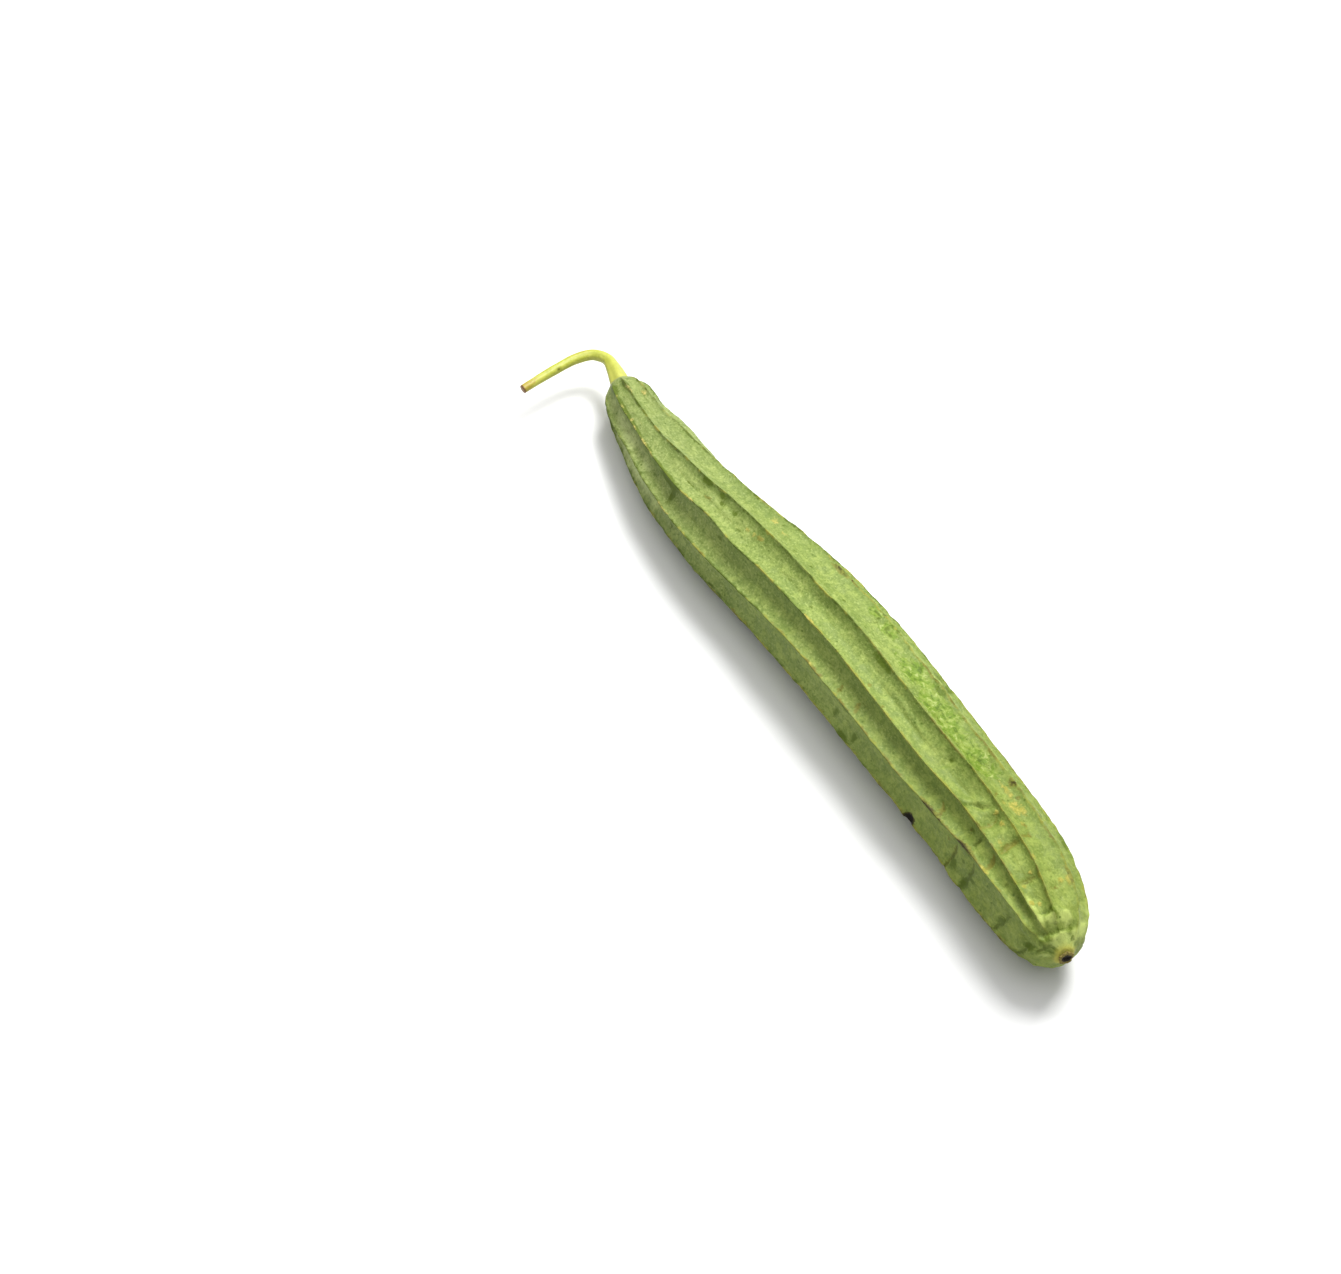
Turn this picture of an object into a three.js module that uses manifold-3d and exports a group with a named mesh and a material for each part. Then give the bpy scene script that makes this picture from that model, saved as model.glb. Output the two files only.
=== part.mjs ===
// A ridge gourd as picked, lying on a flat surface: the long ridged fruit, the piece of stalk that it
// hung by, and the dried scar where its flower was. Millimetres, +Z up. The fruit runs along X with its
// neck towards -X and its blossom end towards +X, and the origin is on the surface, under the middle.

import Module from "manifold-3d";
import * as THREE from "three";
import { mergeVertices } from "three/addons/utils/BufferGeometryUtils.js";

const wasm = await Module();
wasm.setup();

// ---- Driving dimensions ----------------------------------------------------------------------------

const FRUIT_LENGTH = 340;

// How far the crests of the ridges stand from the centre line: [distance from the neck end, radius].
const CREST_RADIUS = [
  [0, 5.4], // flat face that the stem grew from
  [5, 9.2],
  [12, 11.4], // shoulder of the neck
  [34, 14.0],
  [51, 16.6],
  [68, 18.8],
  [119, 22.4],
  [170, 23.9], // thickest
  [221, 23.3],
  [272, 22.0],
  [300, 21.4],
  [320.5, 17.9],
  [331.5, 13.8],
  [336.4, 9.8],
  [338.5, 5.2], // foot of the nub at the blossom end
  [340, 3.4], // flat end of the nub
];

// The centre line at evenly spaced stations from neck to blossom end: a lazy S to the sides, a neck that
// hangs a little above the surface, and a blossom end that lifts towards its nub.
const SPINE_SWAY = [0, -5.0, -3.9, 2.1, 5.1, 6.1, 6.3, -1.3];
const SPINE_HEIGHT = [17.0, 16.9, 19.0, 21.0, 21.9, 21.2, 19.9, 23.0];
const END_LEAN = 9; // degrees by which the nub points above the centre line
const END_LEAN_LENGTH = 20; // length over which it turns up

// Where each ridge stands around the fruit: [distance from the neck end, degrees from straight up towards
// +Y]. Between two of its points a ridge turns smoothly, and before the first and past the last it keeps
// its angle. The fruit rests on the ridges at 159 and 198.
const RIDGE_PATHS = [
  [[15, -106], [60, -100]],
  [[15, -86], [48, -68], [125, -68], [180, -62], [240, -63], [327, -48]],
  [[10, -41], [50, -34], [80, -34], [101, -30], [125, -34], [190, -32], [240, -34], [275, -30], [337, -28]],
  [[15, -7], [80, 0], [103, 4], [165, -2], [188, 0], [220, -2], [262, 0], [310, -1], [335, -4]],
  [[20, 30], [45, 42], [70, 39], [150, 38], [250, 34], [290, 34], [315, 40]],
  [[15, 68], [60, 88], [105, 84], [150, 74], [320, 78]],
  [[15, 110], [60, 117], [220, 114], [330, 119]],
  [[15, 152], [60, 159]],
  [[15, 191], [60, 198]],
  [[15, 220], [60, 230], [200, 227], [320, 232]],
];
const FLUTE_DEPTH = 0.15; // of the crest radius, in the middle of the hollow between two ridges
const NECK_FADE = 10; // length over which the hollows run out at the neck
const NUB_FADE = 16; // length over which they run out at the blossom end

// Where a hollow is deeper, or shallower and even filled out: [the ridge before it, distance from the neck
// end, length, share of the usual depth].
const FLUTE_SWELLS = [
  [1, 22, 22, 0.55],
  [1, 90, 45, 0.15],
  [1, 300, 22, -0.35],
  [2, 32, 36, -0.65],
  [3, 225, 50, -0.3],
  [4, 41, 19, -1.85],
  [4, 64, 10, -0.45],
];

const STEM_RADIUS = 3.0; // it tapers evenly from this to the radius of its cut end
const STEM_CUT_RADIUS = 2.0;
const STEM_FLARE = 4.4; // radius where the stem meets the neck
const STEM_FLARE_LENGTH = 19;

// The stem's centre line from the middle of the neck's end face: out along the fruit, then hooked round
// to the side.
const STEM_ROUTE = [
  [0, 0.2, 0],
  [-9, 1.8, 0.2],
  [-17, 2.3, 0.4],
  [-22.6, -2, 0.4],
  [-24.3, -10, 0.2],
  [-23.3, -20, -0.1],
  [-21.7, -30, -0.5],
  [-20, -39.2, -1],
];

const SCAR_RADIUS = 3.0;
const SCAR_HEIGHT = 1.0;
const SCAR_RIM = 0.6; // how far the scar's rim stands above its hollow middle

const GAP = 0.3; // between pieces that grew into each other

const RIDGES = RIDGE_PATHS.length;
const FRUIT_STATIONS = 54;
const POINTS_PER_FLUTE = 4;
const STEM_STATIONS = 30;
const STEM_SIDES = 12;
const SCAR_SIDES = 16;

// ---- Materials -------------------------------------------------------------------------------------

const SKIN = new THREE.MeshStandardMaterial({ color: 0x8a9c55, roughness: 0.75, metalness: 0 });
const STEM_SKIN = new THREE.MeshStandardMaterial({ color: 0xdfe37a, roughness: 0.6, metalness: 0 });
const DRIED = new THREE.MeshStandardMaterial({ color: 0x2b2014, roughness: 0.9, metalness: 0 });

// ---- Shared shape tools ----------------------------------------------------------------------------

const UP = new THREE.Vector3(0, 0, 1);
const lerp = THREE.MathUtils.lerp;
const smoothstep = THREE.MathUtils.smoothstep;

// Sweeps a unit section along stations, each {centre, forward, place}, where place turns a point of the
// section into its distances to the side and upwards at that station.
function sweep(section, stations) {
  const last = stations.length - 1;
  const geometry = new THREE.ExtrudeGeometry(section, { steps: last, depth: 1, bevelEnabled: false });
  const position = geometry.getAttribute("position");
  const point = new THREE.Vector3();
  for (let i = 0; i < position.count; i += 1) {
    point.fromBufferAttribute(position, i);
    const { centre, forward, place } = stations[Math.round(point.z * last)];
    const side = new THREE.Vector3().crossVectors(UP, forward).normalize();
    const up = new THREE.Vector3().crossVectors(forward, side);
    const [across, above] = place(point.x, point.y);
    point.copy(centre).addScaledVector(side, across).addScaledVector(up, above);
    position.setXYZ(i, point.x, point.y, point.z);
  }
  return geometry;
}

function roundSection(sides) {
  const points = Array.from({ length: sides }, (_, k) => {
    const theta = (k / sides) * 2 * Math.PI;
    return new THREE.Vector2(Math.cos(theta), Math.sin(theta));
  });
  return new THREE.Shape(points);
}

function weld(geometry) {
  const bare = geometry.clone();
  bare.deleteAttribute("normal");
  bare.deleteAttribute("uv");
  return mergeVertices(bare, 1e-4);
}

function toSolid(geometry) {
  const welded = weld(geometry);
  const mesh = new wasm.Mesh({
    numProp: 3,
    vertProperties: new Float32Array(welded.getAttribute("position").array),
    triVerts: new Uint32Array(welded.index.array),
  });
  return new wasm.Manifold(mesh);
}

function toGeometry(solid) {
  const { vertProperties, triVerts } = solid.getMesh();
  const geometry = new THREE.BufferGeometry();
  geometry.setAttribute("position", new THREE.BufferAttribute(vertProperties, 3));
  geometry.setIndex(new THREE.BufferAttribute(triVerts, 1));
  geometry.computeVertexNormals();
  return geometry;
}

// ---- Fruit -----------------------------------------------------------------------------------------

const spine = new THREE.CatmullRomCurve3(
  SPINE_SWAY.map((sway, k) => {
    const along = (k / (SPINE_SWAY.length - 1)) * FRUIT_LENGTH;
    return new THREE.Vector3(along, sway, SPINE_HEIGHT[k]);
  }),
);

// The way the fruit points at a distance from the neck end.
function heading(along) {
  const forward = spine.getTangent(THREE.MathUtils.clamp(along / FRUIT_LENGTH, 0, 1));
  const side = new THREE.Vector3().crossVectors(UP, forward).normalize();
  const degrees = END_LEAN * smoothstep(along, FRUIT_LENGTH - END_LEAN_LENGTH, FRUIT_LENGTH);
  return forward.applyAxisAngle(side, -THREE.MathUtils.degToRad(degrees));
}

// The degrees at which a ridge stands at a distance from the neck end.
function ridgeAngle(ridge, along) {
  const path = RIDGE_PATHS[ridge % RIDGES];
  const turns = path.slice(1).map(([to, degrees], k) => {
    const [from, before] = path[k];
    return (degrees - before) * smoothstep(along, from, to);
  });
  const lap = 360 * Math.floor(ridge / RIDGES);
  return turns.reduce((sum, turn) => sum + turn, path[0][1] + lap);
}

// How deep the hollow after a ridge is at a distance from the neck end, as a share of the crest radius.
function fluteDepth(ridge, along) {
  const fade = smoothstep(along, 0, NECK_FADE) * smoothstep(FRUIT_LENGTH - along, 0, NUB_FADE);
  const swells = FLUTE_SWELLS.filter(([before]) => before === ridge);
  const share = swells.reduce((sum, [, middle, length, more]) => {
    return sum + more * Math.exp(-(((along - middle) / length) ** 2));
  }, 1);
  return FLUTE_DEPTH * share * fade;
}

// The fruit's section is swept as a circle with its ridges evenly spaced round it. Each station moves the
// ridges to their places and makes the hollow arcs between them.
function fruitStations() {
  const outline = new THREE.CatmullRomCurve3(
    CREST_RADIUS.map(([along, radius]) => new THREE.Vector3(along, radius, 0)),
  );
  return outline.getSpacedPoints(FRUIT_STATIONS).map(({ x: along, y: radius }) => {
    const share = THREE.MathUtils.clamp(along / FRUIT_LENGTH, 0, 1);
    const place = (x, y) => {
      const rounds = THREE.MathUtils.euclideanModulo(Math.atan2(x, y) / (2 * Math.PI), 1) * RIDGES;
      const ridge = Math.min(Math.floor(rounds), RIDGES - 1);
      const flute = rounds - ridge;
      const degrees = lerp(ridgeAngle(ridge, along), ridgeAngle(ridge + 1, along), flute);
      const theta = THREE.MathUtils.degToRad(degrees);
      const reach = radius * (1 - fluteDepth(ridge, along) * (1 - (2 * flute - 1) ** 2));
      return [reach * Math.sin(theta), reach * Math.cos(theta)];
    };
    return { centre: spine.getPoint(share), forward: heading(along), place };
  });
}

// The crests that carry the fruit are pressed flat where they lie on the surface.
function makeFruit() {
  const grown = toSolid(sweep(roundSection(RIDGES * POINTS_PER_FLUTE), fruitStations()));
  const slabHeight = 10;
  const slab = new THREE.BoxGeometry(FRUIT_LENGTH, FRUIT_LENGTH, slabHeight);
  slab.translate(FRUIT_LENGTH / 2, 0, -slabHeight / 2);
  const fruit = new THREE.Mesh(toGeometry(grown.subtract(toSolid(slab))), SKIN);
  fruit.name = "fruit";
  return fruit;
}

// ---- Stem ------------------------------------------------------------------------------------------

function makeStem() {
  const outwards = heading(0).negate();
  const root = spine.getPoint(0).addScaledVector(outwards, GAP);
  const route = new THREE.CatmullRomCurve3(
    STEM_ROUTE.map((offset) => new THREE.Vector3(...offset).add(root)),
  );
  const length = route.getLength();
  const stations = Array.from({ length: STEM_STATIONS + 1 }, (_, k) => {
    const share = k / STEM_STATIONS;
    const flare = 1 - smoothstep(share * length, 0, STEM_FLARE_LENGTH);
    const radius = lerp(STEM_RADIUS, STEM_CUT_RADIUS, share) + flare * (STEM_FLARE - STEM_RADIUS);
    const place = (x, y) => [radius * x, radius * y];
    return {
      centre: route.getPointAt(share),
      forward: k === 0 ? outwards : route.getTangentAt(share),
      place,
    };
  });
  const stem = new THREE.Mesh(sweep(roundSection(STEM_SIDES), stations), STEM_SKIN);
  stem.name = "stem";
  return stem;
}

// ---- Blossom scar ----------------------------------------------------------------------------------

// A shallow dried cup on the end of the nub, turned about its own axis.
function makeBlossomScar() {
  const profile = [
    new THREE.Vector2(0, 0),
    new THREE.Vector2(SCAR_RADIUS, 0),
    new THREE.Vector2(SCAR_RADIUS, SCAR_HEIGHT - SCAR_RIM),
    new THREE.Vector2(SCAR_RADIUS * 0.8, SCAR_HEIGHT),
    new THREE.Vector2(SCAR_RADIUS * 0.55, SCAR_HEIGHT - SCAR_RIM),
    new THREE.Vector2(0, SCAR_HEIGHT - SCAR_RIM),
  ];
  const scar = new THREE.Mesh(new THREE.LatheGeometry(profile, SCAR_SIDES), DRIED);
  const forward = heading(FRUIT_LENGTH);
  scar.quaternion.setFromUnitVectors(new THREE.Vector3(0, 1, 0), forward);
  scar.position.copy(spine.getPoint(1)).addScaledVector(forward, GAP);
  scar.name = "blossom_scar";
  return scar;
}

// ---- Assembly --------------------------------------------------------------------------------------

const plant = new THREE.Group();
plant.add(makeFruit(), makeStem(), makeBlossomScar());

// The origin goes under the middle of the whole gourd, stem and scar included.
const middle = new THREE.Box3().setFromObject(plant, true).getCenter(new THREE.Vector3());
plant.position.set(-middle.x, -middle.y, 0);

const ridgeGourd = new THREE.Group();
ridgeGourd.add(plant);
ridgeGourd.updateMatrixWorld(true);

export default ridgeGourd;
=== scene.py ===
"""A ridge gourd lying on a pale floor: its ridged skin, its stem and the dried scar of its flower.

Everything is in metres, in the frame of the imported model. The fruit runs along X from its neck to its
blossom end. A place on its skin is given by two numbers: how far along the fruit it is, from the neck's end
face, and how far round it is, in ridges. Round 2 is on the ridge numbered 2, and round 2.5 is in the middle
of the flute between ridges 2 and 3.
"""

import math

import bpy
import numpy as np
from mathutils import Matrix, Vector


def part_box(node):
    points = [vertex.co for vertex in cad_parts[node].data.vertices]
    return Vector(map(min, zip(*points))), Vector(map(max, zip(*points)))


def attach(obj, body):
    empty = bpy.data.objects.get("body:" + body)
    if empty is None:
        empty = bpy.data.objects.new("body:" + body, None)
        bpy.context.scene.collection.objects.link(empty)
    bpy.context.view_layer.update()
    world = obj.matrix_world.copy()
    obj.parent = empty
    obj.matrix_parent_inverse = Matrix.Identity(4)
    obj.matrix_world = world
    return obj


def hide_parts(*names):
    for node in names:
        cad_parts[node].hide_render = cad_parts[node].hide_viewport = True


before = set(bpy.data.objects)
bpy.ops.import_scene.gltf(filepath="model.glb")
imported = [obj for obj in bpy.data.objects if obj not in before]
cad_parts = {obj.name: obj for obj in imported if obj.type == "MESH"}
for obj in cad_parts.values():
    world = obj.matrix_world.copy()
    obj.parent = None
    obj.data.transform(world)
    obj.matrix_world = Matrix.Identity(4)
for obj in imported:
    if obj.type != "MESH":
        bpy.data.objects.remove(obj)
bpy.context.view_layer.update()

MM = 0.001

# ---- Driving dimensions: the same as the solids' ------------------------------------------------------

FRUIT_LENGTH = 340 * MM

# (distance along the fruit, how far the crests of its ridges stand from the centre line)
CREST_RADIUS = MM * np.array([
    (0, 5.4), (5, 9.2), (12, 11.4), (34, 14.0), (51, 16.6), (68, 18.8), (119, 22.4), (170, 23.9),
    (221, 23.3), (272, 22.0), (300, 21.4), (320.5, 17.9), (331.5, 13.8), (336.4, 9.8), (338.5, 5.2),
    (340, 3.4),
])

# The centre line at evenly spaced points from the neck to the blossom end.
SPINE_SWAY = MM * np.array([0, -5.0, -3.9, 2.1, 5.1, 6.1, 6.3, -1.3])
SPINE_HEIGHT = MM * np.array([17.0, 16.9, 19.0, 21.0, 21.9, 21.2, 19.9, 23.0])
SPINE = np.stack([np.linspace(0, FRUIT_LENGTH, len(SPINE_SWAY)), SPINE_SWAY, SPINE_HEIGHT], axis=1)
END_LEAN = math.radians(9)  # how far the nub points above the centre line
END_LEAN_LENGTH = 20 * MM

# Where each ridge stands: (millimetres along the fruit, degrees from straight up towards +Y). Between two of
# its points a ridge turns smoothly, and before the first and past the last it keeps its angle.
RIDGE_PATHS = [
    [(15, -106), (60, -100)],
    [(15, -86), (48, -68), (125, -68), (180, -62), (240, -63), (327, -48)],
    [(10, -41), (50, -34), (80, -34), (101, -30), (125, -34), (190, -32), (240, -34), (275, -30), (337, -28)],
    [(15, -7), (80, 0), (103, 4), (165, -2), (188, 0), (220, -2), (262, 0), (310, -1), (335, -4)],
    [(20, 30), (45, 42), (70, 39), (150, 38), (250, 34), (290, 34), (315, 40)],
    [(15, 68), (60, 88), (105, 84), (150, 74), (320, 78)],
    [(15, 110), (60, 117), (220, 114), (330, 119)],
    [(15, 152), (60, 159)],
    [(15, 191), (60, 198)],
    [(15, 220), (60, 230), (200, 227), (320, 232)],
]
RIDGES = len(RIDGE_PATHS)
FLUTE_DEPTH = 0.15  # of the crest radius
NECK_FADE = 10 * MM  # length over which the flutes run out at the neck
NUB_FADE = 16 * MM  # length over which they run out at the blossom end

# Where a flute is deeper, or shallower and even filled out: (the ridge before it, distance along the fruit,
# length, share of the usual depth), the middle two in millimetres.
FLUTE_SWELLS = [
    (1, 22, 22, 0.55), (1, 90, 45, 0.15), (1, 300, 22, -0.35), (2, 32, 36, -0.65),
    (3, 225, 50, -0.3), (4, 41, 19, -1.85), (4, 64, 10, -0.45),
]

STEM_RADIUS = 3.0 * MM  # it tapers evenly from this to the radius of its cut end
STEM_CUT_RADIUS = 2.0 * MM
STEM_FLARE = 4.4 * MM  # radius where the stem meets the neck
STEM_FLARE_LENGTH = 19 * MM
STEM_ROUTE = MM * np.array([  # from the middle of the neck's end face
    (0, 0.2, 0), (-9, 1.8, 0.2), (-17, 2.3, 0.4), (-22.6, -2, 0.4),
    (-24.3, -10, 0.2), (-23.3, -20, -0.1), (-21.7, -30, -0.5), (-20, -39.2, -1),
])
SCAR_RADIUS = 3.0 * MM
SCAR_HEIGHT = 1.0 * MM
GAP = 0.3 * MM  # between the fruit and each of the other two pieces

# ---- How this fruit grew ------------------------------------------------------------------------------

FLUTE_ROUNDNESS = 2.2  # 2 in the solids, and a flute with more has a flatter floor
RIDGE_WANDER = 0.3 * MM  # sideways
CREST_RISE = 0.25 * MM  # how far the crests rise and dip along their length
DEPTH_CHANGE = 0.12  # share by which a flute's depth changes along its length
RIB_HEIGHT = 0.35 * MM  # of the thin rib along each crest
RIB_WIDTH = 0.6 * MM

# Lumps and hollows: (height, size, octaves, how closely they stand along X, Y and Z, seed, where), the first
# two in millimetres.
LUMPS = [
    (0.36, 8, 3, (0.5, 1, 1), 61, "flutes"),
    (0.30, 5, 2, (0.13, 1, 1), 75, "flutes"),
    (0.16, 4, 1, (1.5, 1, 1), 65, "everywhere"),
    (0.10, 4, 1, (1.5, 1, 1), 65, "blossom end"),
    (0.09, 1.7, 1, (1, 1, 1), 66, "everywhere"),
    (0.16, 5, 1, (2.4, 0.7, 0.7), 68, "flutes of the blossom end"),
    (0.62, 3.8, 1, (1, 1, 1), 67, "tip"),
    (0.28, 1.9, 1, (1, 1, 1), 69, "tip"),
]

# Dents in the flutes: (round, along, half length, half width, depth), the last four in millimetres. A
# negative depth stands out.
DENTS = [
    (1.66, 34, 24, 2.6, 0.6), (1.25, 36, 22, 1.6, -0.2), (5, 21, 6.5, 3, 0.8), (2.45, 83, 6, 0.7, 0.35),
    (2.72, 100, 5, 2.6, 0.6), (2.55, 105, 4, 2.2, -0.9), (2.6, 95, 3, 1.6, -0.7),
    (2.45, 99.5, 1.6, 1.6, 0.5), (2.65, 89, 2.6, 1.8, 0.4), (1.5, 78, 1.2, 4, 0.35),
    (2.45, 175.5, 2, 2.4, 0.4), (2.7, 168, 6, 3, 0.35), (2.47, 150.6, 2, 1.1, 0.35),
    (2.4, 159, 1.4, 0.9, 0.3), (2.34, 167.4, 1.6, 1, 0.3), (3.39, 172.5, 2, 1.4, 0.4),
    (1.33, 141, 5, 1.5, -0.35), (1.6, 146, 6, 1.5, -0.3), (2.44, 222, 6, 1.5, 0.4),
    (2.62, 226, 8, 1.3, -0.3), (2.39, 235, 4.5, 1.6, 0.45), (2.55, 238, 6, 1.2, -0.3),
    (2.7, 248, 5, 2, -0.35), (2.45, 254.8, 1.2, 4.2, 0.4), (2.72, 255.7, 1.6, 1.4, 0.6),
    (2.62, 264, 5, 3.2, -0.45), (2.35, 268, 4, 1.4, 0.35), (1.22, 259.5, 3, 2.6, 0.5),
    (1.5, 215, 5, 2.2, 0.3), (3.5, 160, 12, 3, 0.35), (3.3, 240, 8, 2, 0.35), (3.6, 262, 5, 2.4, 0.4),
    (1.5, 294.5, 2.2, 3, -0.4), (1.52, 307.9, 2.6, 3, -0.35), (2.4, 281.5, 2.6, 3.4, -0.3),
    (2.5, 292.5, 3.4, 3.4, -0.35), (2.48, 308.2, 4, 3.4, -0.4), (2.18, 320.9, 4, 1.8, -0.45),
    (2.81, 322.3, 3, 2.2, 0.35), (2.12, 329, 3.5, 1.2, -0.5), (3.26, 330.6, 2.6, 2.6, -0.6),
    (3.44, 335.6, 1.4, 2.2, 0.45), (1.47, 330.1, 3, 2.2, -0.3), (1, 336.8, 2.4, 1, -0.45),
    (0.67, 330.2, 2.2, 1.6, 0.5), (0.19, 331.6, 2.4, 2.4, -0.4), (2.6, 332.2, 1.8, 2.6, -0.8),
    (3.4, 331.8, 1.8, 2.4, -0.9), (3.1, 338.2, 1.6, 2.2, -0.6), (0.6, 335.8, 2, 1, 0.5),
    (0.56, 338.4, 0.9, 1.6, 0.3), (2.55, 274, 4.5, 3.6, -0.6), (2.8, 277, 3, 2.2, 0.35),
    (1.95, 337.6, 1.2, 1.2, -0.4),
]

# Creases across the flutes: (round and along at one end, the same at the other, bow, width, depth, how brown
# it is, how strongly its groove is darkened green as painted shade), the distances in millimetres.
CREASES = [
    (1.97, 273.3, 2.92, 281.6, 1.4, 0.8, 0.75, 0.3, 0.55),
    (2.00, 286.5, 2.85, 286.0, 0.3, 1.3, 0.75, 0.8, 0.1),
    (2.02, 301.6, 2.95, 300.0, -0.5, 1.4, 0.95, 1.1, 0.2),
    (2.03, 314.6, 2.96, 314.5, 0.4, 1.2, 0.80, 0.7, 0.6),
    (2.08, 328.6, 3.10, 328.2, 0.6, 1.0, 0.55, 0.3, 0.9),
    (1.18, 291.6, 1.80, 290.6, 0.2, 0.9, 0.45, 0.2, 1.2),
    (1.00, 303.4, 1.90, 299.8, 0.3, 1.0, 0.55, 1.2, 0.3),
    (1.16, 313.3, 1.84, 311.2, 0.3, 0.9, 0.30, 0.0, 0.7),
    (1.17, 319.5, 1.76, 317.4, 0.3, 0.9, 0.25, 0.0, 0.5),
    (-0.60, 285.2, 0.95, 284.4, -0.5, 1.0, 0.40, 0.9, 0.9),
    (-0.80, 294.0, 0.95, 297.5, 0.8, 1.1, 0.45, 0.6, 1.2),
    (-0.30, 317.6, 0.85, 321.0, 0.6, 1.0, 0.40, 0.5, 1.0),
    (3.02, 298.1, 3.55, 296.0, 0.3, 0.8, 0.35, 1.1, 0.3),
    (3.00, 277.9, 3.50, 273.2, 0.5, 0.8, 0.35, 0.9, 0.3),
    (3.35, 254.3, 3.80, 265.5, 1.0, 0.8, 0.40, 0.5, 0.9),
    (3.05, 321.6, 3.80, 319.8, 0.4, 0.8, 0.25, 0.7, 0.1),
    (0.30, 334.2, 3.95, 335.6, 1.1, 1.3, 1.05, 0.1, 0.75),
    (-0.40, 329.6, 0.60, 333.4, 0.5, 1.0, 0.60, 0.1, 1.1),
    (0.25, 336.6, 1.30, 339.0, 0.2, 0.6, 0.35, 0.5, 0.9),
    (1.04, 214.8, 1.35, 212.0, 0.3, 0.8, 0.15, 1.0, 0.2),
    (1.04, 203.2, 1.40, 201.4, 0.3, 0.8, 0.15, 0.8, 0.6),
    (1.06, 270.8, 1.50, 265.8, 0.3, 0.8, 0.25, 1.3, 0.2),
    (2.20, 253.8, 2.72, 255.4, 0.4, 0.7, 0.30, 0.0, 0.7),
    (3.45, 187.0, 3.90, 190.6, -0.8, 0.8, 0.45, 0.0, 0.9),
    (0.20, 85.0, 0.60, 82.0, 0.3, 0.8, 0.20, 0.0, 1.0),
]
CREASE_WANDER = [(1.1, 6, 51), (0.4, 2, 52)]  # (millimetres that it strays, over how many, seed)

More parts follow.
